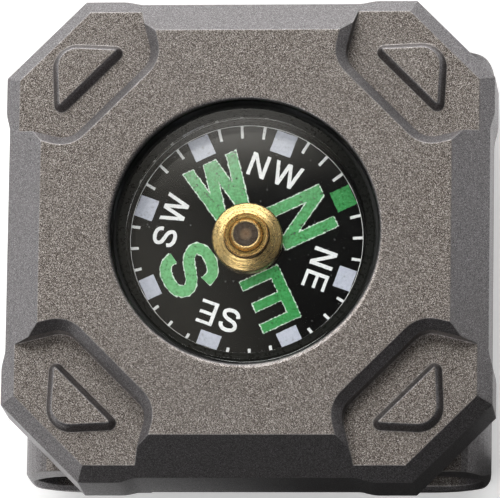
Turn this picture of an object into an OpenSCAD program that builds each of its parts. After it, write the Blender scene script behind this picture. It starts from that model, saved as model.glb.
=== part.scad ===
/* [Strap slot] */
// Width of the slot that a watch strap is threaded through
strap_slot_w = 24.4; // [22:0.1:26]
// Height of the slot
strap_slot_h = 4.2; // [4.2:0.1:5]
// Wall of the loop below the slot
loop_floor_t = 0.85; // [0.7:0.05:1.4]
// Wall of the loop beside the slot, at its thinnest
loop_side_t = 0.53; // [0.4:0.01:1]
// Depth of the shallow scallop in each end of the loop
scallop_d = 0.5; // [0.2:0.05:1]
// Length of each scallop along the end of the loop
scallop_w = 12.4; // [8:0.1:15]

/* [Case] */
// Width and length of the case across its corner blocks
case_w = 26.44; // [26:0.02:30]
// Depth of the upright walls below the top face
wall_drop = 6.6; // [6:0.1:7.4]
// Run of the chamfer round the top face
chamfer_w = 2.16; // [1.6:0.02:2.4]
// Drop of the chamfer round the top face
chamfer_h = 2.59; // [2:0.01:3]
// Chamfer under the walls
under_chamfer = 1.44; // [1:0.02:1.6]
// Distance from the axis to each corner cut
corner_reach = 15.7; // [15.2:0.1:17]
// Depth by which the middle of each wall stands back from the corner blocks
wall_recess = 0.22; // [0.1:0.01:0.4]
// Metal between the capsule seat and the slot
seat_t = 1.4; // [0.9:0.05:2]

/* [Corner pockets] */
// Depth of the pockets below the top face
pocket_depth = 1.65; // [1.2:0.05:2]
// Distance from the axis to the long inner wall of each pocket
pocket_reach = 10.42; // [10:0.02:10.8]
// Run of the bevel along the pocket walls
pocket_bevel_w = 0.52; // [0.3:0.01:0.8]
// Drop of the bevel along the pocket walls
pocket_bevel_h = 0.66; // [0.4:0.01:1]
// Radius of the inner corners of each pocket floor
pocket_r = 1.3; // [0.8:0.1:1.6]
// Height of the raised pointers above the pocket floor
pointer_h = 0.6; // [0.3:0.05:1]

/* [Capsule] */
// Height of the capsule from its seat to the top of its lens
capsule_h = 8; // [7.6:0.1:9]
// Depth of the lens below the top face of the case
lens_sink = 0.35; // [0.2:0.05:1]
// Rise of the domed lens over its bevelled edge
lens_dome = 0.33; // [0.2:0.01:0.5]
// Thickness of the lens
lens_t = 0.5; // [0.4:0.05:0.6]
// Thickness of the capsule walls
capsule_wall_t = 0.5; // [0.4:0.05:0.7]
// Thickness of the rubber sleeve round the capsule
gasket_t = 0.2; // [0.15:0.01:0.4]

/* [Compass card] */
// Depth of the card below the crown of the lens
card_depth = 2.15; // [2.1:0.05:2.8]
// Diameter of the card
card_d = 12.7; // [11:0.1:14]
// Running gap between the card and the wall of the capsule
card_gap = 0.12; // [0.08:0.01:0.3]
// Thickness of the card
card_t = 0.3; // [0.2:0.05:0.5]
// Angle of the north mark at rest, from the +X axis
rest_angle = 25.1; // [0:0.1:360]
// Diameter of the brass hub on the card
hub_d = 3.8; // [3:0.1:4.4]
// Length of the bar magnet
magnet_l = 9; // [7:0.1:10.5]
// Width of the bar magnet
magnet_w = 3.2; // [2.8:0.1:4]
// Thickness of the bar magnet
magnet_t = 0.9; // [0.6:0.1:1.2]

/* [Hidden] */
$fn = 96;

// One overrun serves every cut
over = 1;

// Heights, upwards from the wrist face of the loop
slot_floor_z = loop_floor_t;
slot_roof_z = slot_floor_z + strap_slot_h;
slot_mid_z = slot_floor_z + strap_slot_h / 2;
seat_z = slot_roof_z + seat_t;
lens_top_z = seat_z + capsule_h;
top_z = lens_top_z + lens_sink;
wall_low_z = top_z - wall_drop;
deck_z = wall_low_z - under_chamfer;
pocket_z = top_z - pocket_depth;

// The case in plan
case_half = case_w / 2;
recess_run_share = 0.09;
recess_side_share = 0.54;
recess_end_share = 0.525;
blend_steps = 8;

// The pocket in plan: its end wall leans outwards by this slope of run to length
pocket_end_x_share = 0.443;
pocket_end_lean_share = 0.25;
pocket_rim_half = case_half - chamfer_w * (chamfer_h - pocket_depth) / chamfer_h;
corner_steps = 8;

// The top of a raised pointer in plan, with its long side towards the axis
pointer_reach = 12.23;
pointer_corner = 10.42;
pointer_lean_share = 0.05;
pointer_nose_r = 1.05;
pointer_tip_r = 0.1;
pointer_draft = 0.3;
pointer_edge = 0.12;

// The loop in section: elliptical shoulders round the slot
loop_jut = 0.1;
loop_half_w = strap_slot_w / 2 + loop_side_t;
loop_half_l = case_half - wall_recess - under_chamfer + loop_jut;
loop_shoulder_run = 1.8;
loop_belly_run = 4;
loop_root_h = 0.15;
loop_corner_r = 0.6;
slot_corner_run = 2.2;
slot_lip = 0.25;
shoulder_steps = 8;

// The capsule, made to suit its card
capsule_inner_r = card_d / 2 + card_gap;
capsule_r = capsule_inner_r + capsule_wall_t;
lens_bevel = 0.1;
lens_face_r = capsule_r - lens_bevel;
lens_edge_z = lens_top_z - lens_dome;
lens_dome_r = (lens_face_r * lens_face_r + lens_dome * lens_dome) / (2 * lens_dome);
card_z = lens_top_z - card_depth;
cup_lip = 0.4;
cup_rim_z = card_z + cup_lip;
cup_floor_t = 1.05;
cup_floor_z = seat_z + cup_floor_t;
boss_r = 1.1;
boss_h = 1.7;
plug_r = 0.6;
plug_place = 4;

// The bore for the capsule
bore_r = capsule_r + gasket_t;
bore_lip_r = 0.3;
gasket_low = 1.1;

// The hub, from the card upwards
hub_r = hub_d / 2;
hub_rim_h = 0.7;
hub_edge_r = 0.06;
hub_mid_r = 1.55;
hub_mid_h = 0.84;
hub_flange_h = 0.93;
hub_ring_r = 1.19;
hub_ring_h = 1.35;
hub_groove_d = 0.09;
hub_ring_lip = 0.08;
hub_neck_r = 0.92;
hub_collar_r = 0.76;
hub_eye_w = 0.05;
hub_top_gap = 0.13;
hub_top_z = lens_top_z - lens_t - hub_top_gap;
stem_r = 1.1;
stem_low_z = card_z - card_t - magnet_t;
stem_bore_r = 0.75;

// The jewel and the pivot under it
jewel_r = 0.67;
jewel_h = 0.8;
jewel_sink = 0.03;
jewel_z = hub_top_z - jewel_sink;
jewel_ledge_r = 0.5;
jewel_ledge_t = 0.2;
jewel_cup_r = 0.35;
jewel_cup_d = 0.3;
pivot_gap = 0.03;
pivot_tip_r = 0.08;
pivot_point_r = 0.25;
pivot_body_r = 0.4;
pivot_point_h = 1.3;
pivot_press = 1.4;
pivot_tip_z = jewel_z - jewel_h + jewel_cup_d - pivot_gap;

function unit(v) = v / norm(v);

// Points of an arc of radius r that rounds the corner b between a and c
function fillet(a, b, c, r, steps) =
    let (u = unit(a - b), v = unit(c - b), half = acos(u * v) / 2)
    let (o = b + unit(u + v) * r / sin(half))
    let (s = b + u * r / tan(half) - o, e = b + v * r / tan(half) - o)
    let (from = atan2(s.y, s.x), turn = atan2(s.x * e.y - s.y * e.x, s * e))
    [for (i = [0:steps]) o + r * [cos(from + turn * i / steps), sin(from + turn * i / steps)]];

// Plan of the case, an octagon, drawn in on all eight sides
function case_plan(inset) =
    let (half = case_half - inset, cut = (corner_reach - inset) * sqrt(2) - half)
    [[half, -cut], [half, cut], [cut, half], [-cut, half],
     [-half, cut], [-half, -cut], [-cut, -half], [cut, -half]];

// Plan of a pocket in the corner of +X and +Y, grown outwards by a bevel's run
function pocket_end_y(grow) =
    let (lean = atan(pocket_end_lean_share), sum = (pocket_reach - grow) * sqrt(2))
    let (x = case_half * pocket_end_x_share - grow / cos(lean))
    (sum - x + pocket_end_lean_share * pocket_rim_half) / (1 + pocket_end_lean_share);
function pocket_end_x(y, grow) =
    case_half * pocket_end_x_share - grow / cos(atan(pocket_end_lean_share))
    + pocket_end_lean_share * (y - pocket_rim_half);
function pocket_plan(grow) =
    let (far = case_half + over, y = pocket_end_y(grow))
    let (a = [pocket_end_x(far, grow), far], b = [pocket_end_x(y, grow), y])
    let (c = [b.y, b.x], d = [a.y, a.x])
    concat([[far, far], a], fillet(a, b, c, pocket_r + grow, corner_steps),
           fillet(b, c, d, pocket_r + grow, corner_steps), [d]);

// Plan of a pointer, grown outwards on every side
function pointer_plan(grow) =
    let (k = pointer_corner + grow, sum = (pointer_reach - grow) * sqrt(2))
    let (y = (k - pointer_lean_share * (k - sum)) / (1 + pointer_lean_share))
    let (nose = [k, k], left = [sum - y, y], right = [y, sum - y])
    concat(fillet(right, nose, left, pointer_nose_r + grow, corner_steps),
           fillet(nose, left, right, pointer_tip_r + grow, corner_steps),
           fillet(left, right, nose, pointer_tip_r + grow, corner_steps));

// A solid through outlines of as many points each, one above the other
module stack(outlines, heights) {
    n = len(outlines[0]);
    top = len(outlines) - 1;
    polyhedron(
        points = [for (k = [0:top]) for (p = outlines[k]) [p.x, p.y, heights[k]]],
        faces = concat(
            [[for (i = [0:n - 1]) i]], [[for (i = [n - 1:-1:0]) top * n + i]],
            [for (k = [0:top - 1]) for (i = [0:n - 1])
                let (j = (i + 1) % n) [k * n + i, k * n + n + i, k * n + n + j, k * n + j]]));
}

module case_block() {
    stack([case_plan(under_chamfer), case_plan(0), case_plan(0), case_plan(chamfer_w)],
          [deck_z, wall_low_z, top_z - chamfer_h, top_z]);
}

module wall_recess_cut(outer_share) {
    outer = case_half * outer_share;
    inner = outer - case_half * recess_run_share;
    function depth(i) = wall_recess * (1 + cos(180 * i / blend_steps)) / 2;
    function place(i) = inner + (outer - inner) * i / blend_steps;
    translate([0, 0, deck_z - over])
        linear_extrude(height = top_z - deck_z + 2 * over)
            polygon(concat([[-outer, over], [outer, over]],
                [for (i = [blend_steps:-1:0]) [place(i), -depth(i)]],
                [for (i = [0:blend_steps]) [-place(i), -depth(i)]]));
}

module pocket_cut() {
    rise = pocket_bevel_h + over;
    stack([pocket_plan(0), pocket_plan(0), pocket_plan(pocket_bevel_w * rise / pocket_bevel_h)],
          [pocket_z, top_z - pocket_bevel_h, top_z + over]);
}

module pointer() {
    slope = pointer_draft / pointer_h;
    stack([pointer_plan(slope * (pointer_h + over)), pointer_plan(slope * pointer_edge),
           pointer_plan(-pointer_edge / 2)],
          [pocket_z - over, pocket_z + pointer_h - pointer_edge, pocket_z + pointer_h]);
}

// Quarter of an ellipse about a centre, from one angle to another
function quarter(cx, cz, run, rise, from, to) =
    [for (i = [0:shoulder_steps]) let (a = from + (to - from) * i / shoulder_steps)
        [cx + run * cos(a), cz + rise * sin(a)]];

module loop_section() {
    shoulder_x = loop_half_w - loop_shoulder_run;
    belly_x = loop_half_w - loop_belly_run;
    rise = deck_z + loop_root_h - slot_mid_z;
    polygon(concat(
        quarter(shoulder_x, slot_mid_z, loop_shoulder_run, rise, 0, 90),
        quarter(-shoulder_x, slot_mid_z, loop_shoulder_run, rise, 90, 180),
        quarter(-belly_x, slot_mid_z, loop_belly_run, slot_mid_z, 180, 270),
        quarter(belly_x, slot_mid_z, loop_belly_run, slot_mid_z, 270, 360)));
}

module strap_loop() {
    x = loop_half_w;
    y = loop_half_l;
    intersection() {
        rotate([90, 0, 0])
            linear_extrude(height = 2 * y, center = true)
                loop_section();
        translate([0, 0, -over])
            linear_extrude(height = wall_low_z + 2 * over)
                polygon(concat(
                    fillet([x, -y], [x, y], [-x, y], loop_corner_r, corner_steps),
                    fillet([x, y], [-x, y], [-x, -y], loop_corner_r, corner_steps),
                    fillet([-x, y], [-x, -y], [x, -y], loop_corner_r, corner_steps),
                    fillet([-x, -y], [x, -y], [x, y], loop_corner_r, corner_steps)));
    }
}

function slot_outline(grow) =
    let (x = strap_slot_w / 2 - slot_corner_run, run = slot_corner_run + grow)
    let (rise = strap_slot_h / 2 + grow)
    concat(quarter(x, slot_mid_z, run, rise, 0, 90), quarter(-x, slot_mid_z, run, rise, 90, 180),
           quarter(-x, slot_mid_z, run, rise, 180, 270), quarter(x, slot_mid_z, run, rise, 270, 360));

module slot_cut() {
    inner = loop_half_l - slot_lip;
    outer = loop_half_l + over;
    rotate([90, 0, 0])
        stack([slot_outline(slot_lip + over), slot_outline(0), slot_outline(0),
               slot_outline(slot_lip + over)],
              [-outer, -inner, inner, outer]);
}

module scallop_cut() {
    inner = scallop_w / 2 - 2 * scallop_d;
    for (turn = [0, 180])
        rotate([0, 0, turn])
            translate([0, loop_half_l, -over])
                linear_extrude(height = slot_mid_z + over)
                    polygon([[-scallop_w / 2, 0], [-inner, -scallop_d], [inner, -scallop_d],
                             [scallop_w / 2, 0], [scallop_w / 2, over], [-scallop_w / 2, over]]);
}

// The bore with its rounded lip
module capsule_bore() {
    lip_z = top_z - bore_lip_r;
    rotate_extrude() {
        translate([0, seat_z])
            square([bore_r, top_z + over - seat_z]);
        difference() {
            translate([0, lip_z])
                square([bore_r + bore_lip_r, bore_lip_r + over]);
            translate([bore_r + bore_lip_r, lip_z])
                circle(r = bore_lip_r);
        }
    }
}

module case() {
    color("#8a837d")
        difference() {
            union() {
                difference() {
                    case_block();
                    for (turn = [0:90:270])
                        rotate([0, 0, turn]) {
                            translate([0, case_half, 0])
                                wall_recess_cut(turn % 180 == 0 ? recess_end_share
                                                                : recess_side_share);
                            pocket_cut();
                        }
                }
                for (turn = [0:90:270])
                    rotate([0, 0, turn])
                        pointer();
                strap_loop();
            }
            slot_cut();
            scallop_cut();
            capsule_bore();
        }
}

module gasket_ring() {
    color("#141414")
        translate([0, 0, seat_z])
            difference() {
                cylinder(r = bore_r, h = top_z - gasket_low - bore_lip_r - seat_z);
                translate([0, 0, -over])
                    cylinder(r = capsule_r, h = top_z - seat_z + 2 * over);
            }
}

module capsule_cup() {
    color("#1b1b1c")
        difference() {
            union() {
                difference() {
                    translate([0, 0, seat_z])
                        cylinder(r = capsule_r, h = cup_rim_z - seat_z);
                    translate([0, 0, cup_floor_z])
                        cylinder(r = capsule_inner_r, h = cup_rim_z - cup_floor_z + over);
                }
                translate([0, 0, cup_floor_z - cup_floor_t / 2])
                    cylinder(r = boss_r, h = boss_h + cup_floor_t / 2);
            }
            translate([0, 0, cup_floor_z + boss_h - pivot_press])
                cylinder(r = pivot_body_r, h = pivot_press + over);
            translate([plug_place, 0, seat_z - over])
                cylinder(r = plug_r, h = cup_floor_t + 2 * over);
        }
}

module capsule_lens() {
    color("#dfe8ea", 0.35)
        rotate_extrude()
            difference() {
                intersection() {
                    polygon([[0, cup_rim_z], [capsule_r, cup_rim_z],
                             [capsule_r, lens_edge_z - lens_bevel],
                             [lens_face_r - over, lens_edge_z + over], [0, lens_edge_z + over]]);
                    translate([0, lens_top_z - lens_dome_r])
                        circle(r = lens_dome_r);
                }
                intersection() {
                    translate([-over, cup_rim_z - over])
                        square([capsule_inner_r + over, lens_top_z - cup_rim_z + over]);
                    translate([0, lens_top_z - lens_dome_r])
                        circle(r = lens_dome_r - lens_t);
                }
            }
}

module pivot_pin() {
    low_z = cup_floor_z + boss_h - pivot_press;
    color("#c9ccd0")
        rotate_extrude()
            polygon([[0, low_z], [pivot_body_r, low_z],
                     [pivot_body_r, stem_low_z - pivot_point_r],
                     [pivot_point_r, stem_low_z],
                     [pivot_point_r, pivot_tip_z - pivot_point_h],
                     [pivot_tip_r, pivot_tip_z - pivot_tip_r],
                     [0, pivot_tip_z]]);
}

module fill_plug() {
    color("#b9953f")
        translate([plug_place, 0, seat_z])
            cylinder(r = plug_r, h = cup_floor_t);
}

module card_disc() {
    color("#17181a")
        translate([0, 0, card_z - card_t])
            difference() {
                cylinder(d = card_d, h = card_t);
                translate([0, 0, -over])
                    cylinder(r = stem_r, h = card_t + 2 * over);
            }
}

module hub() {
    rim_z = card_z + hub_rim_h;
    ring_z = card_z + hub_ring_h;
    ledge_z = jewel_z - jewel_h;
    color("#c8a24a")
        rotate_extrude()
            polygon([[stem_bore_r, stem_low_z], [stem_r, stem_low_z], [stem_r, card_z],
                     [hub_r, card_z], [hub_r, rim_z - hub_edge_r], [hub_r - hub_edge_r, rim_z],
                     [hub_mid_r, card_z + hub_mid_h], [hub_ring_r, card_z + hub_flange_h],
                     [hub_ring_r, ring_z], [hub_ring_r - hub_ring_lip, ring_z - hub_groove_d],
                     [hub_neck_r, ring_z - hub_groove_d], [hub_collar_r, hub_top_z],
                     [jewel_r + hub_eye_w, hub_top_z], [jewel_r, jewel_z], [jewel_r, ledge_z],
                     [jewel_ledge_r, ledge_z], [jewel_ledge_r, ledge_z - jewel_ledge_t]]);
}

module jewel() {
    color("#8c7462")
        difference() {
            translate([0, 0, jewel_z - jewel_h])
                cylinder(r = jewel_r, h = jewel_h);
            translate([0, 0, jewel_z - jewel_h - over])
                cylinder(r1 = jewel_cup_r * (jewel_cup_d + over) / jewel_cup_d, r2 = 0,
                         h = jewel_cup_d + over);
        }
}

module bar_magnet() {
    color("#5b5f63")
        rotate([0, 0, rest_angle])
            translate([0, 0, stem_low_z])
                difference() {
                    translate([-magnet_l / 2, -magnet_w / 2, 0])
                        cube([magnet_l, magnet_w, magnet_t]);
                    translate([0, 0, -over])
                        cylinder(r = stem_r, h = magnet_t + 2 * over);
                }
}

case();
gasket_ring();
capsule_cup();
capsule_lens();
pivot_pin();
fill_plug();
card_disc();
hub();
jewel();
bar_magnet();
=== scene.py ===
import math

import bmesh
import bpy
from mathutils import Matrix, Vector, noise


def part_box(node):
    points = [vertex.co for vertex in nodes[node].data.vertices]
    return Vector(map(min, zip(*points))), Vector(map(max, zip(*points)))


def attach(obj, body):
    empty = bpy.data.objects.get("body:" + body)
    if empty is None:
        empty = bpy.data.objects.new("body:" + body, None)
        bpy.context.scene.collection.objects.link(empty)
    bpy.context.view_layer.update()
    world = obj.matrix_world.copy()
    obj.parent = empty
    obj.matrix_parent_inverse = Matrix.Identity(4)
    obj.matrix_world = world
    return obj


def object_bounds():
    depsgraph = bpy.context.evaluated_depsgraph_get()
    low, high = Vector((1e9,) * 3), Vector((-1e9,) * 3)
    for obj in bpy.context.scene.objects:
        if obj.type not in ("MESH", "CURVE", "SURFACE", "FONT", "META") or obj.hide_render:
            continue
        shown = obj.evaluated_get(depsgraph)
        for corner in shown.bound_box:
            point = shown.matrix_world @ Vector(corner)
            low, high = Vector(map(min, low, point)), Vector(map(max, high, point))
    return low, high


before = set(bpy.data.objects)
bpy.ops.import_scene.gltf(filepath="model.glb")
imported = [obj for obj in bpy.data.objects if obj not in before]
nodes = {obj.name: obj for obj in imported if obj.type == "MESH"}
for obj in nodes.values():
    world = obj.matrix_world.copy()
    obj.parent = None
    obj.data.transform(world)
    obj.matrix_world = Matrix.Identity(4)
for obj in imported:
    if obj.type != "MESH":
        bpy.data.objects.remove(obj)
cad_low, cad_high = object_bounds()

# Lengths are in metres
MM = 0.001
TOP = cad_high.z
CARD_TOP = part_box("card_disc")[1].z

# Painted shade draws the wall of the case's bore near black: out to this reach from the axis, and down from
# its top
BORE_SHADE_REACH = 7.2 * MM
BORE_SHADE_REACH_FADE = 0.14 * MM
BORE_SHADE_DEPTH = 3 * MM
BORE_SHADE_DEPTH_FADE = 1 * MM

# How far out the painted highlight and shade rings of the hub's brass, and the rings of its stone, are
# drawn
HUB_RINGS_R = 1.9 * MM
STONE_RINGS_R = 0.67 * MM

# How far each finish rounds its edges
CASE_EDGE_R = 0.09 * MM
BRASS_EDGE_R = 0.02 * MM
PLAIN_EDGE_R = 0.03 * MM
LENS_EDGE_R = 0.035 * MM

# How deep each grain is
BLAST_DEPTH = 0.02 * MM
LATHE_DEPTH = 0.02 * MM
PIT_DEPTH = 0.008 * MM
FAINT_DEPTH = 0.01 * MM

# The print on the card: all of it sits a little off the card's centre, and the rim line less so
NORTH = math.radians(25.1)
UPRIGHT = math.pi / 2
RIM_R = 6.27 * MM
RIM_CENTRE = Vector((-0.07, 0.0)) * MM
PRINT_CENTRE = Vector((-0.116, -0.2)) * MM
UNDER_H = 0.006 * MM
INK_H = 0.012 * MM
FRINGE = 0.045 * MM
SIDE_CUT = 0.05 * MM

# Thirty-two marks, of which every fourth is a block, and the rim line round them
MARKS = 32
MARKS_TO_A_BLOCK = 4
TICK_START = 5.76 * MM
TICK_W = 0.155 * MM
BLOCK_START = 5.2 * MM
BLOCK_W = 1.17 * MM
NORTH_BLOCK_W = 1.15 * MM
MARK_TO_RIM = 0.02 * MM
RIM_LINE_T = 0.012 * MM
RIM_LINE_VARIES = 0.03 * MM
RIM_LINE_WAVES = 9
RIM_LINE_SEED = 2.0

# Letters: the four big ones and the four pairs between them hang from one circle, each a little aside
LETTER_TOP = 4.87 * MM
LETTER_H = 3.05 * MM
LETTER_STROKE = 0.57 * MM
LETTER_WIDTHS = {"N": 2.5 * MM, "E": 2.23 * MM, "S": 2.45 * MM, "W": 3.12 * MM}
LETTER_SHIFTS = {"N": -0.01 * MM, "E": 0.07 * MM, "S": -0.05 * MM, "W": 0.055 * MM}
POINT_H = 1.28 * MM
POINT_STROKE = 0.2 * MM
POINT_GAP = 0.32 * MM
POINT_WIDTHS = {"N": 1.0 * MM, "E": 0.93 * MM, "S": 1.0 * MM, "W": 1.58 * MM}
POINT_SHIFTS = {"NE": -0.02 * MM, "SE": -0.05 * MM, "SW": -0.2 * MM, "NW": 0.1 * MM}

# Rough edges of the ink, which fall the same way in every run: how far a point strays, over what length
INK_SEED = 29
MARK_WEAR = (0.014 * MM, 0.09 * MM)
NORTH_WEAR = (0.03 * MM, 0.08 * MM)
LETTER_WEAR = (0.045 * MM, 0.07 * MM)
UNDER_WEAR = (0.065 * MM, 0.021 * MM)
POINT_WEAR = (0.012 * MM, 0.09 * MM)

# Proportions of the letters, as shares of their stroke, width or height
N_SLANT_SHARE = 1.12
E_ARM_SHARE = 0.84
E_MIDDLE_SHARE = 0.52
E_MIDDLE_REACH_SHARE = 0.94
E_TOP_REACH_SHARE = 0.98
W_FOOT_SHARE = 0.215
W_PEAK_SHARE = 0.1
# Middle line of an S, in shares of its half width and half height
S_LINE_SHARES = [
    (1.03, 0.40), (0.97, 0.64), (0.70, 0.89), (0.23, 1.0), (-0.35, 0.97), (-0.83, 0.79),
    (-1.0, 0.48), (-0.78, 0.19), (-0.19, 0.01), (0.45, -0.13), (0.84, -0.33), (1.0, -0.62),
    (0.74, -0.88), (0.23, -1.0), (-0.32, -0.97), (-0.80, -0.78), (-1.0, -0.42),
]

# The studio: a floor, lamps of (name, size, place, watts) that all face the object, and two dark cards that
# only mirrors see, as painted reflections of shade
FLOOR_W = 1.6
FLOOR_DROP = 0.02 * MM
FLOOR_GLOW = 0.3
LAMPS = (
    ("back_lamp", (0.75, 0.6), (-0.12, 0.42, 0.30), 2.8),
    ("left_lamp", (0.4, 0.45), (-0.43, 0.04, 0.31), 0.5),
    ("right_lamp", (0.4, 0.35), (0.37, 0.12, 0.37), 0.1),
    ("front_lamp", (0.22, 0.22), (-0.13, -0.2, 0.43), 0.55),
)
FLAG_SIZE = (0.13, 0.044)
FLAG_PLACE = (0.012, -0.034, 0.023)
FLAG_TURN = math.radians(20)
MAT_SIZE = (0.09, 0.036)
MAT_PLACE = (0.028, -0.024, 0.0003)
MAT_TURN = math.radians(18)
SKY_STRENGTH = 1.7

# The photo's camera: its lens and sensor in millimetres, its way back from the object and its own right
LENS_MM = 538.1
SENSOR_MM = 36
CAMERA_BACK = Vector((0.0818, -0.2049, 0.97535)).normalized()
CAMERA_RIGHT = Vector((0.99665, 0.01449, -0.08055)).normalized()
CAMERA_REACH = 0.3996
AIM_RIGHT = 0.295 * MM
AIM_DOWN = 0.974 * MM
CLIP_NEAR = 0.01
CLIP_FAR = 10

scene = bpy.context.scene
scene.view_settings.view_transform = "Standard"


# Node helpers
def add(tree, kind, **values):
    """A node in a tree. Values name its settings, or its inputs by label."""
    node = tree.nodes.new(kind)
    for key, value in values.items():
        if key in node.bl_rna.properties:
            setattr(node, key, value)
        else:
            node.inputs[key.replace("_", " ")].default_value = value
    return node


def join(tree, start, end):
    """A link from an output to an input."""
    tree.links.new(start, end)


def feed(tree, socket, value):
    """Gives an input a link, a colour or a plain value."""
    if isinstance(value, bpy.types.NodeSocket):
        join(tree, value, socket)
    elif isinstance(value, tuple):
        socket.default_value = (*value, 1)
    else:
        socket.default_value = value


def ramp(tree, source, stops):
    """A colour ramp over stops of (place, colour)."""
    node = tree.nodes.new("ShaderNodeValToRGB")
    bar = node.color_ramp.elements
    while len(bar) < len(stops):
        bar.new(0.5)
    for stop, (place, colour) in zip(bar, stops):
        stop.position = place
        stop.color = (*colour, 1)
    join(tree, source, node.inputs["Fac"])
    return node.outputs["Color"]


def rescale(tree, source, between, onto=(0.0, 1.0)):
    """A value taken from one range to another, and kept inside it."""
    node = add(tree, "ShaderNodeMapRange")
    node.clamp = True
    for key, value in zip(("From Min", "From Max", "To Min", "To Max"), (*between, *onto)):
        node.inputs[key].default_value = value
    join(tree, source, node.inputs["Value"])
    return node.outputs["Result"]


def mix_colour(tree, share, first, second, blend="MIX"):
    """Two colours mixed by a share."""
    node = tree.nodes.new("ShaderNodeMix")
    node.data_type = "RGBA"
    node.blend_type = blend
    first_in, second_in = [s for s in node.inputs if s.type == "RGBA"]
    for socket, value in ((node.inputs[0], share), (first_in, first), (second_in, second)):
        feed(tree, socket, value)
    return [s for s in node.outputs if s.type == "RGBA"][0]


def maths(tree, operation, first, second=0.0):
    """One sum of two values."""
    node = tree.nodes.new("ShaderNodeMath")
    node.operation = operation
    for socket, value in zip(node.inputs, (first, second)):
        feed(tree, socket, value)
    return node.outputs[0]


def weighed(tree, first, second, share):
    """Two values added, the second by its share and the first by the rest."""
    rest = maths(tree, "MULTIPLY", first, 1 - share)
    return maths(tree, "ADD", rest, maths(tree, "MULTIPLY", second, share))


def split_place(tree, vector):
    """The X, Y and Z of a vector, as outputs by name."""
    node = add(tree, "ShaderNodeSeparateXYZ")
    join(tree, vector, node.inputs[0])
    return node.outputs


def bump(tree, height, strength, distance, normal=None):
    """A normal that a height tilts, on top of another normal if there is one."""
    node = add(tree, "ShaderNodeBump", Strength=strength, Distance=distance)
    join(tree, height, node.inputs["Height"])
    if normal is not None:
        join(tree, normal, node.inputs["Normal"])
    return node.outputs["Normal"]


def new_group(name, inputs, outputs):
    """An empty shader group with named sockets: (label, kind, value) and (label, kind)."""
    tree = bpy.data.node_groups.new(name, "ShaderNodeTree")
    for label, kind, value in inputs:
        socket = tree.interface.new_socket(label, in_out="INPUT", socket_type=kind)
        if value is not None:
            socket.default_value = value
    for label, kind in outputs:
        tree.interface.new_socket(label, in_out="OUTPUT", socket_type=kind)
    return tree, tree.nodes.new("NodeGroupInput"), tree.nodes.new("NodeGroupOutput")


def placed_group(tree, group, **values):
    """A group placed in a material, with its own values or links."""
    node = tree.nodes.new("ShaderNodeGroup")
    node.node_tree = group
    for key, value in values.items():
        feed(tree, node.inputs[key.replace("_", " ")], value)
    return node


# Effects shared by several finishes
def grain_group():
    """Fine grain: a soft height, flecks that follow it, and crisp specks of their own."""
    coarse_scale = 0.37
    coarse_share = 0.3
    tree, start, end = new_group(
        "fine_grain",
        [("Place", "NodeSocketVector", None), ("Grains per metre", "NodeSocketFloat", 9000.0),
         ("Specks per metre", "NodeSocketFloat", 11000.0)],
        [("Fleck", "NodeSocketFloat"), ("Speck", "NodeSocketFloat"), ("Height", "NodeSocketFloat")],
    )
    fine = add(tree, "ShaderNodeTexNoise", Detail=1.0, Roughness=0.5)
    coarse = add(tree, "ShaderNodeTexNoise", Detail=1.0, Roughness=0.5)
    cells = add(tree, "ShaderNodeTexVoronoi", Randomness=1.0)
    for node in (fine, coarse, cells):
        join(tree, start.outputs["Place"], node.inputs["Vector"])
    grains = start.outputs["Grains per metre"]
    join(tree, grains, fine.inputs["Scale"])
    join(tree, maths(tree, "MULTIPLY", grains, coarse_scale), coarse.inputs["Scale"])
    join(tree, start.outputs["Specks per metre"], cells.inputs["Scale"])
    both = weighed(tree, fine.outputs["Fac"], coarse.outputs["Fac"], coarse_share)
    join(tree, both, end.inputs["Height"])
    join(tree, rescale(tree, both, (0.33, 0.67)), end.inputs["Fleck"])
    shade = add(tree, "ShaderNodeSeparateColor")
    join(tree, cells.outputs["Color"], shade.inputs[0])
    join(tree, shade.outputs[0], end.inputs["Speck"])
    return tree


def edge_group():
    """A mask of the outer edges and a normal that rounds them."""
    tree, start, end = new_group(
        "rounded_edges",
        [("Radius", "NodeSocketFloat", 0.1 * MM)],
        [("Edge", "NodeSocketFloat"), ("Normal", "NodeSocketVector")],
    )
    bevel = add(tree, "ShaderNodeBevel", samples=6)
    join(tree, start.outputs["Radius"], bevel.inputs["Radius"])
    flat = tree.nodes.new("ShaderNodeNewGeometry").outputs["True Normal"]
    turn = add(tree, "ShaderNodeVectorMath", operation="DOT_PRODUCT")
    join(tree, bevel.outputs["Normal"], turn.inputs[0])
    join(tree, flat, turn.inputs[1])
    join(tree, rescale(tree, turn.outputs["Value"], (0.995, 0.9)), end.inputs["Edge"])
    join(tree, bevel.outputs["Normal"], end.inputs["Normal"])
    return tree


def reach_group():
    """How far a point is from the capsule's axis, and the square of it."""
    tree, start, end = new_group(
        "axis_reach",
        [("Place", "NodeSocketVector", None)],
        [("Reach", "NodeSocketFloat"), ("Square", "NodeSocketFloat")],
    )
    flat = add(tree, "ShaderNodeVectorMath", operation="MULTIPLY")
    flat.inputs[1].default_value = (1, 1, 0)
    join(tree, start.outputs["Place"], flat.inputs[0])
    length = add(tree, "ShaderNodeVectorMath", operation="LENGTH")
    join(tree, flat.outputs[0], length.inputs[0])
    join(tree, length.outputs["Value"], end.inputs["Reach"])
    square = add(tree, "ShaderNodeVectorMath", operation="DOT_PRODUCT")
    for socket in square.inputs[:2]:
        join(tree, flat.outputs[0], socket)
    join(tree, square.outputs["Value"], end.inputs["Square"])
    return tree


GRAIN = grain_group()
EDGES = edge_group()
REACH = reach_group()


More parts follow.
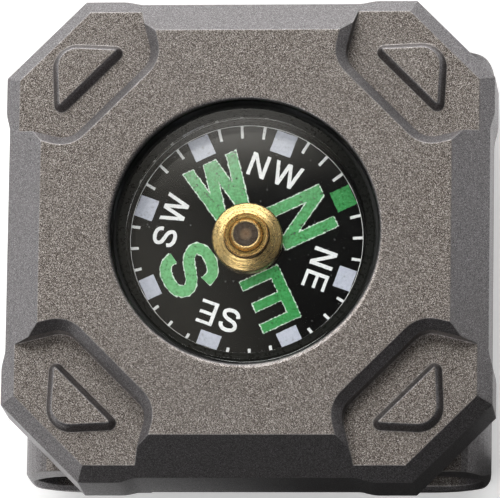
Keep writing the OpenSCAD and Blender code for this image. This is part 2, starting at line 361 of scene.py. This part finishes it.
def crown_group():
    """The height of a card that is crowned a little about its axis."""
    tree, start, end = new_group(
        "card_crown",
        [("Place", "NodeSocketVector", None), ("Rise", "NodeSocketFloat", 8.0)],
        [("Height", "NodeSocketFloat")],
    )
    square = placed_group(tree, REACH, Place=start.outputs["Place"]).outputs["Square"]
    fall = maths(tree, "MULTIPLY", square, start.outputs["Rise"])
    join(tree, maths(tree, "MULTIPLY", fall, -1.0), end.inputs["Height"])
    return tree


CROWN = crown_group()


def finish_start(name):
    """A new finish: its tree, its Principled shader and the piece's own coordinates."""
    material = bpy.data.materials.new(name)
    material.use_nodes = True
    tree = material.node_tree
    shader = tree.nodes["Principled BSDF"]
    place = tree.nodes.new("ShaderNodeTexCoord").outputs["Object"]
    return material, tree, shader, place


# Finishes
def blasted_titanium():
    """Bead blasted titanium: speckled flats, finer bevels, edges lightened as a painted highlight, and
    painted shade that draws the bore's wall near black.
    """
    material, tree, shader, place = finish_start("blasted_titanium")
    grain = placed_group(tree, GRAIN, Place=place, Grains_per_metre=14000.0, Specks_per_metre=42000.0)
    edges = placed_group(tree, EDGES, Radius=CASE_EDGE_R)
    mottle = weighed(tree, grain.outputs["Fleck"], grain.outputs["Speck"], 0.88)
    speckled = ramp(tree, mottle, [
        (0.1, (0.012, 0.008, 0.006)), (0.35, (0.08, 0.066, 0.057)), (0.55, (0.17, 0.146, 0.13)),
        (0.75, (0.29, 0.261, 0.239)), (0.92, (0.74, 0.7, 0.67))])
    finer = ramp(tree, mottle, [
        (0.1, (0.075, 0.072, 0.074)), (0.5, (0.2, 0.192, 0.198)), (0.75, (0.29, 0.279, 0.288)),
        (0.92, (0.5, 0.48, 0.495))])
    facing = split_place(tree, tree.nodes.new("ShaderNodeNewGeometry").outputs["True Normal"])["Z"]
    metal = mix_colour(tree, rescale(tree, facing, (0.8, 0.97)), finer, speckled)
    cloud = add(tree, "ShaderNodeTexNoise", Scale=130.0, Detail=3.0)
    join(tree, place, cloud.inputs["Vector"])
    clouded = rescale(tree, cloud.outputs["Fac"], (0.35, 0.65), (0.0, 0.2))
    metal = mix_colour(tree, clouded, metal, (0.208, 0.195, 0.188))
    # Painted highlight: the rounded edges are lightened
    metal = mix_colour(tree, maths(tree, "MULTIPLY", edges.outputs["Edge"], 0.6), metal, (0.42, 0.41, 0.41))
    # Painted shade: the wall of the bore, near the axis and high up, is drawn near black
    reach = placed_group(tree, REACH, Place=place).outputs["Reach"]
    near_axis = rescale(tree, reach, (BORE_SHADE_REACH, BORE_SHADE_REACH + BORE_SHADE_REACH_FADE), (1.0, 0.0))
    bore_shade_from = TOP - BORE_SHADE_DEPTH
    high_up = rescale(tree, split_place(tree, place)["Z"], (bore_shade_from - BORE_SHADE_DEPTH_FADE, bore_shade_from))
    metal = mix_colour(tree, maths(tree, "MULTIPLY", near_axis, high_up), metal, (0.008, 0.008, 0.008))
    join(tree, metal, shader.inputs["Base Color"])
    shader.inputs["Metallic"].default_value = 1.0
    join(tree, rescale(tree, grain.outputs["Fleck"], (0.0, 1.0), (0.5, 0.4)), shader.inputs["Roughness"])
    blasted = bump(tree, grain.outputs["Height"], 0.2, BLAST_DEPTH, edges.outputs["Normal"])
    join(tree, blasted, shader.inputs["Normal"])
    return material


def plain_metal(name, colour, roughness, grain_scale):
    """Machined metal with faint flecks and rounded edges."""
    fleck = 0.12
    material, tree, shader, place = finish_start(name)
    grain = placed_group(tree, GRAIN, Place=place, Grains_per_metre=grain_scale)
    edges = placed_group(tree, EDGES, Radius=PLAIN_EDGE_R)
    dark = tuple(c * (1 - fleck) for c in colour)
    light = tuple(min(1.0, c * (1 + fleck)) for c in colour)
    join(tree, ramp(tree, grain.outputs["Fleck"], [(0.0, dark), (1.0, light)]), shader.inputs["Base Color"])
    shader.inputs["Metallic"].default_value = 1.0
    join(tree, rescale(tree, grain.outputs["Fleck"], (0.0, 1.0), (roughness + 0.05, roughness - 0.05)),
         shader.inputs["Roughness"])
    grained = bump(tree, grain.outputs["Height"], 0.12, FAINT_DEPTH, edges.outputs["Normal"])
    join(tree, grained, shader.inputs["Normal"])
    return material


def lathe_lines(tree, place, reach):
    """Noise drawn out round the axis, as the fine rings that a lathe leaves."""
    squeeze = 16.0
    ring = add(tree, "ShaderNodeCombineXYZ")
    join(tree, maths(tree, "MULTIPLY", reach, squeeze), ring.inputs["X"])
    join(tree, maths(tree, "MULTIPLY", split_place(tree, place)["Z"], squeeze), ring.inputs["Z"])
    around = add(tree, "ShaderNodeVectorMath", operation="ADD")
    join(tree, ring.outputs[0], around.inputs[0])
    join(tree, place, around.inputs[1])
    lines = add(tree, "ShaderNodeTexNoise", Scale=1100.0, Detail=3.0, Roughness=0.6)
    join(tree, around.outputs[0], lines.inputs["Vector"])
    return lines.outputs["Fac"]


def ring_highlights_and_shade(tree, reach):
    """Painted highlights and painted shade in rings round the hub: pale rings on its edges and dark rings
    in its creases, as a colour that its brass is multiplied by.
    """
    # Reach in mm, red, and the green and blue as parts of the red
    rings = (
        (0.70, 1.3, 1.03, 1.2), (0.76, 1.3, 1.03, 1.2), (0.79, 0.95, 0.95, 0.8), (0.89, 0.85, 0.9, 0.7),
        (0.92, 0.15, 0.7, 0.4), (0.96, 0.75, 0.9, 0.65), (1.08, 0.9, 0.95, 0.75), (1.11, 1.3, 1.03, 1.2),
        (1.18, 1.25, 1.02, 1.15), (1.195, 0.1, 0.7, 0.4), (1.225, 0.12, 0.7, 0.4), (1.26, 0.9, 0.98, 0.95),
        (1.4, 1.0, 1.0, 1.0),
    )
    stops = [(ring * MM / HUB_RINGS_R, (red, red * green, red * blue)) for ring, red, green, blue in rings]
    return ramp(tree, rescale(tree, reach, (0.0, HUB_RINGS_R)), stops)


def turned_brass():
    """Brass from the lathe: fine rings round its axis, dark pits, and rings of painted highlight and
    painted shade.
    """
    material, tree, shader, place = finish_start("turned_brass")
    reach = placed_group(tree, REACH, Place=place).outputs["Reach"]
    lines = lathe_lines(tree, place, reach)
    grain = placed_group(tree, GRAIN, Place=place, Grains_per_metre=9000.0, Specks_per_metre=19000.0)
    edges = placed_group(tree, EDGES, Radius=BRASS_EDGE_R)
    tint = ramp(tree, lines, [
        (0.25, (0.42, 0.27, 0.09)), (0.5, (0.62, 0.44, 0.19)), (0.75, (0.82, 0.64, 0.35))])
    pits = rescale(tree, grain.outputs["Speck"], (0.8, 0.92), (0.0, 0.75))
    tint = mix_colour(tree, pits, tint, (0.16, 0.09, 0.02))
    # Painted highlight and shade: the rings lighten the hub's edges and darken its creases
    tint = mix_colour(tree, 1.0, tint, ring_highlights_and_shade(tree, reach), "MULTIPLY")
    join(tree, tint, shader.inputs["Base Color"])
    shader.inputs["Metallic"].default_value = 1.0
    join(tree, rescale(tree, lines, (0.3, 0.7), (0.3, 0.19)), shader.inputs["Roughness"])
    turned = bump(tree, lines, 0.35, LATHE_DEPTH, edges.outputs["Normal"])
    join(tree, bump(tree, grain.outputs["Speck"], 0.7, PIT_DEPTH, turned), shader.inputs["Normal"])
    return material


def moulded(name, dark, light, roughness, grain_scale, strength):
    """Moulded plastic or rubber."""
    material, tree, shader, place = finish_start(name)
    grain = placed_group(tree, GRAIN, Place=place, Grains_per_metre=grain_scale)
    join(tree, ramp(tree, grain.outputs["Fleck"], [(0.0, dark), (1.0, light)]), shader.inputs["Base Color"])
    join(tree, rescale(tree, grain.outputs["Fleck"], (0.0, 1.0), (roughness - 0.06, roughness + 0.06)),
         shader.inputs["Roughness"])
    join(tree, bump(tree, grain.outputs["Height"], strength, FAINT_DEPTH), shader.inputs["Normal"])
    return material


def ink(name, dark, light, speck, shine=0.9):
    """Screen printed ink with fine specks, crowned as the card is."""
    material, tree, shader, place = finish_start(name)
    grain = placed_group(tree, GRAIN, Place=place, Grains_per_metre=7000.0)
    colour = ramp(tree, grain.outputs["Fleck"], [(0.0, speck), (0.12, dark), (0.8, light), (1.0, light)])
    join(tree, colour, shader.inputs["Base Color"])
    shader.inputs["Roughness"].default_value = 0.27
    shader.inputs["IOR"].default_value = 1.8
    shader.inputs["Specular IOR Level"].default_value = shine
    crown = placed_group(tree, CROWN, Place=place, Rise=10.5)
    bowed = bump(tree, crown.outputs["Height"], 1.0, 1.0)
    join(tree, bump(tree, grain.outputs["Height"], 0.25, FAINT_DEPTH, bowed), shader.inputs["Normal"])
    return material


def glossy_card():
    """Black lacquer on a card that is crowned a little, with a few dust specks."""
    material, tree, shader, place = finish_start("black_card_lacquer")
    grain = placed_group(tree, GRAIN, Place=place, Grains_per_metre=5000.0, Specks_per_metre=12000.0)
    ground = ramp(tree, grain.outputs["Fleck"], [
        (0.0, (0.002, 0.002, 0.002)), (1.0, (0.004, 0.0037, 0.0035))])
    dust = rescale(tree, grain.outputs["Speck"], (0.9975, 0.999))
    join(tree, mix_colour(tree, dust, ground, (0.1, 0.1, 0.1)), shader.inputs["Base Color"])
    join(tree, rescale(tree, grain.outputs["Fleck"], (0.0, 1.0), (0.08, 0.12)), shader.inputs["Roughness"])
    crown = placed_group(tree, CROWN, Place=place, Rise=8.0)
    join(tree, bump(tree, crown.outputs["Height"], 1.0, 1.0), shader.inputs["Normal"])
    return material


def clear_lens():
    """Clear acrylic that lets the lamps through to the card."""
    material, tree, shader, place = finish_start("clear_lens")
    shader.inputs["Base Color"].default_value = (0.97, 0.98, 0.97, 1)
    shader.inputs["Transmission Weight"].default_value = 1.0
    shader.inputs["IOR"].default_value = 1.49
    waves = add(tree, "ShaderNodeTexNoise", Scale=220.0, Detail=1.0)
    join(tree, place, waves.inputs["Vector"])
    join(tree, rescale(tree, waves.outputs["Fac"], (0.0, 1.0), (0.0, 0.04)), shader.inputs["Roughness"])
    edges = placed_group(tree, EDGES, Radius=LENS_EDGE_R)
    join(tree, edges.outputs["Normal"], shader.inputs["Normal"])
    through = add(tree, "ShaderNodeBsdfTransparent")
    through.inputs["Color"].default_value = (0.93, 0.94, 0.93, 1)
    mix = tree.nodes.new("ShaderNodeMixShader")
    join(tree, tree.nodes.new("ShaderNodeLightPath").outputs["Is Shadow Ray"], mix.inputs[0])
    join(tree, shader.outputs[0], mix.inputs[1])
    join(tree, through.outputs[0], mix.inputs[2])
    join(tree, mix.outputs[0], tree.nodes["Material Output"].inputs["Surface"])
    return material


def bearing_stone():
    """Brown bearing stone: a lighter eye, a dark ring and a pale rim, which is a painted highlight."""
    material, tree, shader, place = finish_start("bearing_stone")
    reach = placed_group(tree, REACH, Place=place).outputs["Reach"]
    grain = placed_group(tree, GRAIN, Place=place, Grains_per_metre=7000.0)
    # The outermost stop is the pale rim: a painted highlight
    rings = ramp(tree, rescale(tree, reach, (0.0, STONE_RINGS_R)), [
        (0.0, (0.09, 0.045, 0.025)), (0.16, (0.15, 0.09, 0.05)), (0.4, (0.1, 0.06, 0.034)),
        (0.55, (0.035, 0.021, 0.014)), (0.85, (0.035, 0.022, 0.015)), (0.93, (0.012, 0.008, 0.005)),
        (1.0, (0.08, 0.05, 0.03))])
    veins = maths(tree, "MULTIPLY", grain.outputs["Fleck"], 0.15)
    join(tree, mix_colour(tree, veins, rings, (0.3, 0.26, 0.22)), shader.inputs["Base Color"])
    shader.inputs["Roughness"].default_value = 0.12
    shader.inputs["IOR"].default_value = 1.6
    join(tree, bump(tree, grain.outputs["Height"], 0.05, FAINT_DEPTH), shader.inputs["Normal"])
    return material


FINISHES = {
    "case": blasted_titanium(),
    "gasket_ring": moulded("black_rubber", (0.004, 0.004, 0.004), (0.012, 0.012, 0.012), 0.55, 9000.0, 0.2),
    "capsule_cup": moulded("dark_cup_plastic", (0.02, 0.02, 0.018), (0.03, 0.03, 0.027), 0.3, 6000.0, 0.1),
    "capsule_lens": clear_lens(),
    "pivot_pin": plain_metal("hardened_steel", (0.5, 0.5, 0.5), 0.2, 9000.0),
    "fill_plug": plain_metal("plug_brass", (0.75, 0.58, 0.27), 0.3, 9000.0),
    "card_disc": glossy_card(),
    "hub": turned_brass(),
    "jewel": bearing_stone(),
    "bar_magnet": plain_metal("cast_magnet", (0.2, 0.19, 0.18), 0.45, 6000.0),
}
for name, material in FINISHES.items():
    data = nodes[name].data
    data.materials.clear()
    data.materials.append(material)
    for face in data.polygons:
        face.material_index = 0


# Shapes of ink
def thicken(shape, flat):
    """Makes a flat drawing of ink one unit thick and adds it to the piece."""
    bmesh.ops.recalc_face_normals(flat, faces=flat.faces)
    bmesh.ops.translate(flat, verts=flat.verts, vec=(0, 0, -0.5))
    raised = bmesh.ops.extrude_face_region(flat, geom=flat.faces[:])["geom"]
    bmesh.ops.translate(flat, verts=[v for v in raised if isinstance(v, bmesh.types.BMVert)], vec=(0, 0, 1))
    for face in flat.faces:
        face.smooth = False
    mesh = bpy.data.meshes.new("flat_print")
    flat.to_mesh(mesh)
    flat.free()
    shape.from_mesh(mesh)


def outline(shape, corners):
    """A flat shape of ink inside straight sides, which are cut short so that they can be roughened."""
    flat = bmesh.new()
    flat.faces.new([flat.verts.new((x, y, 0)) for x, y in corners])
    for edge in flat.edges[:]:
        cuts = int(edge.calc_length() / SIDE_CUT)
        if cuts:
            bmesh.ops.subdivide_edges(flat, edges=[edge], cuts=cuts)
    thicken(shape, flat)


def letter_s(shape, left, base, width, height, stroke, grow):
    """An S: a flat ribbon along its middle line."""
    line = bpy.data.curves.new("s_line", "CURVE")
    line.dimensions = "3D"
    line.extrude = stroke / 2 + grow
    line.resolution_u = 5
    path = line.splines.new("BEZIER")
    path.bezier_points.add(len(S_LINE_SHARES) - 1)
    half_w, half_h = (width - stroke) / 2, (height - stroke) / 2
    for point, (x, y) in zip(path.bezier_points, S_LINE_SHARES):
        point.co = (left + width / 2 + x * half_w, base + height / 2 + y * half_h, 0)
        point.handle_left_type = point.handle_right_type = "AUTO"
        point.tilt = UPRIGHT
    drawn = bpy.data.objects.new("s_line", line)
    scene.collection.objects.link(drawn)
    bpy.context.view_layer.update()
    mesh = bpy.data.meshes.new_from_object(drawn)
    bpy.data.objects.remove(drawn)
    ribbon = bmesh.new()
    ribbon.from_mesh(mesh)
    thicken(shape, ribbon)


def corners_of_n(width, height, stroke, grow):
    """The outline of an N from its lower left corner, grown by a margin."""
    wide, tall, broad = stroke + 2 * grow, height + 2 * grow, width + 2 * grow
    slant = wide * N_SLANT_SHARE
    notch = tall * wide / (broad - slant)
    return [(0, 0), (wide, 0), (wide, tall - notch), (broad - slant, 0), (broad, 0), (broad, tall),
            (broad - wide, tall), (broad - wide, notch), (slant, tall), (0, tall)]


def corners_of_e(width, height, stroke, grow):
    """The outline of an E from its lower left corner, grown by a margin."""
    wide, tall, broad = stroke + 2 * grow, height + 2 * grow, width + 2 * grow
    arm = stroke * E_ARM_SHARE + 2 * grow
    low = grow + height * E_MIDDLE_SHARE - arm / 2
    middle, top = broad * E_MIDDLE_REACH_SHARE, broad * E_TOP_REACH_SHARE
    return [(0, 0), (broad, 0), (broad, arm), (wide, arm), (wide, low), (middle, low),
            (middle, low + arm), (wide, low + arm), (wide, tall - arm), (top, tall - arm),
            (top, tall), (0, tall)]


def corners_of_w(width, height, stroke, grow):
    """The outline of a W from its lower left corner, grown by a margin."""
    wide, tall, broad = stroke + 2 * grow, height + 2 * grow, width + 2 * grow
    half, foot, peak = broad / 2, width * W_FOOT_SHARE, stroke * W_PEAK_SHARE
    inner = tall * (foot - wide / 2) / (foot - peak)
    share = wide / (half - wide / 2 - peak)
    side = (foot + wide / 2 - (foot - peak) * share, tall * share)
    right_half = [(foot - wide / 2, 0), (foot + wide / 2, 0), (half, tall), (half - wide, tall), side,
                  (peak + wide / 2, tall)]
    left_half = [(-x, y) for x, y in reversed(right_half)]
    return [(half + x, y) for x, y in right_half + left_half + [(0, inner)]]


CORNERS = {"N": corners_of_n, "E": corners_of_e, "W": corners_of_w}


def letter(shape, kind, left, base, width, height, stroke, grow=0):
    """One letter of ink, grown by a margin on every side."""
    if kind == "S":
        letter_s(shape, left, base, width, height, stroke, grow)
        return
    corners = CORNERS[kind](width, height, stroke, grow)
    outline(shape, [(left - grow + x, base - grow + y) for x, y in corners])


def roughen(shape, depth, pitch):
    """Teeth and wander along the edges of screen printed ink."""
    finer_scale, finer_share, finer_place = 2.3, 0.6, Vector((7, 3, 1))
    for v in shape.verts:
        near = Vector((v.co.x, v.co.y, 0)) / pitch
        push = noise.noise_vector(near) + finer_share * noise.noise_vector(near * finer_scale + finer_place)
        v.co.x += push.x * depth
        v.co.y += push.y * depth


def keep_print(name, shape, material, height, place):
    """Lays a piece of print on the card, this high, and lets it ride the card."""
    bmesh.ops.translate(shape, verts=shape.verts, vec=(0, 0, 0.5))
    bmesh.ops.transform(shape, matrix=place @ Matrix.Diagonal((1, 1, height, 1)), verts=shape.verts)
    bmesh.ops.recalc_face_normals(shape, faces=shape.faces)
    mesh = bpy.data.meshes.new(name)
    shape.to_mesh(mesh)
    shape.free()
    mesh.materials.append(material)
    piece = bpy.data.objects.new(name, mesh)
    scene.collection.objects.link(piece)
    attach(piece, "card")


# The print on the card
def on_card(angle, centre=PRINT_CENTRE):
    """The card's print frame, turned so that its +Y axis points outwards at the angle."""
    return Matrix.Translation((centre.x, centre.y, CARD_TOP)) @ Matrix.Rotation(angle - UPRIGHT, 4, "Z")


def rim_reach(angle, half_width):
    """How far a mark at the angle can run outwards before it meets the rim line."""
    out = Vector((math.cos(angle), math.sin(angle)))
    gap = PRINT_CENTRE - RIM_CENTRE
    along = out.dot(gap)
    inside = (RIM_R - MARK_TO_RIM) ** 2 - gap.length_squared + along ** 2
    return -along + math.sqrt(inside) - half_width ** 2 / RIM_R


def print_mark(shape, angle, start, width):
    """A tick or block from a reach out to the rim line."""
    end = rim_reach(angle, width / 2)
    along = Vector((math.cos(angle), math.sin(angle)))
    across = along.orthogonal() * width / 2
    near, far = along * start, along * end
    outline(shape, [near + across, near - across, far - across, far + across])


def mark_angle(k):
    """Where the k-th mark stands, counted clockwise from the north block."""
    return NORTH - k * math.tau / MARKS


def print_marks(name, places, start, width, material, wear):
    """One piece of print that holds the marks at these places."""
    shape = bmesh.new()
    for k in places:
        print_mark(shape, mark_angle(k), start, width)
    roughen(shape, *wear)
    keep_print(name, shape, material, INK_H, on_card(UPRIGHT))


def print_rim_line():
    """The thin line round the card, whose inner side wavers."""
    line = bmesh.new()
    bmesh.ops.create_circle(line, segments=256, radius=1)
    grown = bmesh.ops.extrude_edge_only(line, edges=line.edges[:])["geom"]
    outer = {v for v in grown if isinstance(v, bmesh.types.BMVert)}
    inner = [v for v in line.verts if v not in outer]
    for v in outer:
        v.co *= RIM_R
    for v in inner:
        waver = noise.noise(Vector((v.co.x * RIM_LINE_WAVES, v.co.y * RIM_LINE_WAVES, RIM_LINE_SEED)))
        v.co *= RIM_R - RIM_LINE_T - RIM_LINE_VARIES * (0.5 + 0.5 * waver)
    rim = bmesh.new()
    thicken(rim, line)
    keep_print("print_rim_line", rim, LINE_INK, INK_H, on_card(UPRIGHT, RIM_CENTRE))


def print_big_letter(kind, k, green):
    """A big letter at the k-th mark: its pale under-print shows as a toothed fringe round the green."""
    width = LETTER_WIDTHS[kind]
    left, base = LETTER_SHIFTS[kind] - width / 2, LETTER_TOP - LETTER_H
    layers = (("under_", FRINGE, UNDER_H, EDGE_INK, UNDER_WEAR), ("print_", 0, INK_H, green, LETTER_WEAR))
    for name, grow, height, material, wear in layers:
        shape = bmesh.new()
        letter(shape, kind, left, base, width, LETTER_H, LETTER_STROKE, grow)
        roughen(shape, *wear)
        keep_print(name + kind.lower(), shape, material, height, on_card(mark_angle(k)))


def print_point(pair, k):
    """A pair of small letters at the k-th mark."""
    wide = sum(POINT_WIDTHS[kind] for kind in pair) + POINT_GAP
    left = POINT_SHIFTS[pair] - wide / 2
    shape = bmesh.new()
    for kind in pair:
        letter(shape, kind, left, LETTER_TOP - POINT_H, POINT_WIDTHS[kind], POINT_H, POINT_STROKE)
        left += POINT_WIDTHS[kind] + POINT_GAP
    roughen(shape, *POINT_WEAR)
    keep_print("print_" + pair.lower(), shape, LINE_INK, INK_H, on_card(mark_angle(k)))


GREEN_INK = ink("green_ink", (0.024, 0.24, 0.046), (0.064, 0.41, 0.118), (0.012, 0.1, 0.022))
# Painted light and shade: the next two are a lighter and a darker copy of the green ink, for the S and for
# the E and the north block
LIT_GREEN_INK = ink("lit_green_ink", (0.08, 0.35, 0.11), (0.13, 0.49, 0.175), (0.03, 0.17, 0.05))
SHADED_GREEN_INK = ink("shaded_green_ink", (0.014, 0.22, 0.036), (0.036, 0.33, 0.082), (0.006, 0.1, 0.018), 0.5)
WHITE_INK = ink("white_ink", (0.52, 0.54, 0.66), (0.6, 0.62, 0.74), (0.42, 0.43, 0.5))
LINE_INK = ink("line_ink", (0.9, 0.9, 0.92), (0.98, 0.98, 0.99), (0.7, 0.7, 0.72))
EDGE_INK = ink("under_ink", (0.45, 0.66, 0.5), (0.84, 0.95, 0.86), (0.2, 0.4, 0.25))

noise.seed_set(INK_SEED)
blocks = range(MARKS_TO_A_BLOCK, MARKS, MARKS_TO_A_BLOCK)
ticks = [k for k in range(MARKS) if k % MARKS_TO_A_BLOCK]
print_marks("print_ticks", ticks, TICK_START, TICK_W, LINE_INK, MARK_WEAR)
print_marks("print_blocks", blocks, BLOCK_START, BLOCK_W, WHITE_INK, MARK_WEAR)
# The north block is printed with the darker copy of the green ink: painted shade
print_marks("print_north_block", [0], BLOCK_START, NORTH_BLOCK_W, SHADED_GREEN_INK, NORTH_WEAR)
print_rim_line()
# The S takes the lighter copy of the green ink and the E the darker: painted light and painted shade
big_letters = (("N", 0, GREEN_INK), ("E", 8, SHADED_GREEN_INK), ("S", 16, LIT_GREEN_INK), ("W", 24, GREEN_INK))
for kind, k, green in big_letters:
    print_big_letter(kind, k, green)
for pair, k in (("NE", 4), ("SE", 12), ("SW", 20), ("NW", 28)):
    print_point(pair, k)


# The studio
def sheet(name, size, place, turn, material):
    """A flat rectangle of floor or card that isn't part of the object."""
    shape = bmesh.new()
    bmesh.ops.create_grid(shape, x_segments=1, y_segments=1, size=0.5)
    bmesh.ops.scale(shape, verts=shape.verts, vec=(size[0], size[1], 1))
    bmesh.ops.transform(shape, matrix=Matrix.Translation(place) @ turn, verts=shape.verts)
    mesh = bpy.data.meshes.new(name)
    shape.to_mesh(mesh)
    shape.free()
    mesh.materials.append(material)
    piece = bpy.data.objects.new(name, mesh)
    scene.collection.objects.link(piece)
    return piece


def matt(name, level, glow=0.0):
    """Matt paper of one grey, which can glow where it is looked at or mirrored, but lights nothing."""
    material, tree, shader, _ = finish_start(name)
    shader.inputs["Base Color"].default_value = (level, level, level, 1)
    shader.inputs["Roughness"].default_value = 0.9
    if glow:
        path = tree.nodes.new("ShaderNodeLightPath")
        mirrored = maths(tree, "ADD", path.outputs["Is Glossy Ray"], path.outputs["Is Transmission Ray"])
        seen = maths(tree, "ADD", path.outputs["Is Camera Ray"], mirrored)
        light = tree.nodes.new("ShaderNodeEmission")
        join(tree, maths(tree, "MULTIPLY", seen, glow), light.inputs["Strength"])
        both = tree.nodes.new("ShaderNodeAddShader")
        join(tree, shader.outputs[0], both.inputs[0])
        join(tree, light.outputs[0], both.inputs[1])
        join(tree, both.outputs[0], tree.nodes["Material Output"].inputs["Surface"])
    return material


def shade_reflection_cards():
    """Painted reflections of shade: a flag upright before the object and a mat at its foot, which mirrors
    see and the camera doesn't.
    """
    shade_reflection_card = matt("shade_reflection_card", 0.055)
    upright = Matrix.Rotation(FLAG_TURN, 4, "Z") @ Matrix.Rotation(UPRIGHT, 4, "X")
    flag = sheet("flag", FLAG_SIZE, FLAG_PLACE, upright, shade_reflection_card)
    mat = sheet("mat", MAT_SIZE, MAT_PLACE, Matrix.Rotation(MAT_TURN, 4, "Z"), shade_reflection_card)
    for card in (flag, mat):
        card.visible_camera = False
        card.visible_diffuse = False
        card.visible_shadow = False


def sky_patch(tree, view, towards, stops):
    """A patch of light in the sky round one direction, by how nearly a view points that way."""
    near = add(tree, "ShaderNodeVectorMath", operation="DOT_PRODUCT")
    near.inputs[1].default_value = Vector(towards).normalized()
    join(tree, view, near.inputs[0])
    return ramp(tree, near.outputs["Value"], stops)


def soft_sky():
    """A dark sky with a bright side behind the object and a faint warm patch overhead."""
    world = bpy.data.worlds.new("studio")
    scene.world = world
    world.use_nodes = True
    sky = world.node_tree
    view = sky.nodes.new("ShaderNodeTexCoord").outputs["Generated"]
    behind = sky_patch(sky, view, (-0.15, 0.82, 0.55), [
        (0.0, (0.03, 0.03, 0.03)), (0.6, (0.015, 0.015, 0.015)), (0.76, (0.03, 0.03, 0.03)),
        (0.795, (0.2, 0.19, 0.17)), (0.84, (1.0, 0.96, 0.9)), (0.95, (1, 1, 1))])
    overhead = sky_patch(sky, view, (-0.45, -0.05, 0.89), [
        (0.88, (0, 0, 0)), (0.95, (0.16, 0.15, 0.13)), (1.0, (0.13, 0.12, 0.11))])
    background = sky.nodes["Background"]
    join(sky, mix_colour(sky, 1.0, behind, overhead, "ADD"), background.inputs["Color"])
    background.inputs["Strength"].default_value = SKY_STRENGTH


def lamp(name, size, place, power):
    """A rectangular lamp that faces the object."""
    data = bpy.data.lights.new(name, "AREA")
    data.shape = "RECTANGLE"
    data.size, data.size_y = size
    data.energy = power
    obj = bpy.data.objects.new(name, data)
    obj.location = place
    obj.rotation_euler = Vector(place).to_track_quat("Z", "Y").to_euler()
    scene.collection.objects.link(obj)


def photo_camera():
    """The photo's camera: a long lens nearly overhead, aimed a little off the middle of the case's face."""
    data = bpy.data.cameras.new("camera")
    data.lens = LENS_MM
    data.sensor_width = SENSOR_MM
    data.clip_start = CLIP_NEAR
    data.clip_end = CLIP_FAR
    camera = bpy.data.objects.new("camera", data)
    scene.collection.objects.link(camera)
    scene.camera = camera
    up = CAMERA_BACK.cross(CAMERA_RIGHT)
    face = Vector((0, 0, TOP))
    stand = face + CAMERA_BACK * CAMERA_REACH
    aim = face + CAMERA_RIGHT * AIM_RIGHT - up * AIM_DOWN
    axis = (stand - aim).normalized()
    side = up.cross(axis).normalized()
    lift = axis.cross(side)
    camera.matrix_world = Matrix((
        (side.x, lift.x, axis.x, stand.x), (side.y, lift.y, axis.y, stand.y),
        (side.z, lift.z, axis.z, stand.z), (0, 0, 0, 1)))


sheet("floor", (FLOOR_W, FLOOR_W), (0, 0, -FLOOR_DROP), Matrix(), matt("white_paper", 0.88, FLOOR_GLOW))
soft_sky()
for lamp_values in LAMPS:
    lamp(*lamp_values)
shade_reflection_cards()
photo_camera()
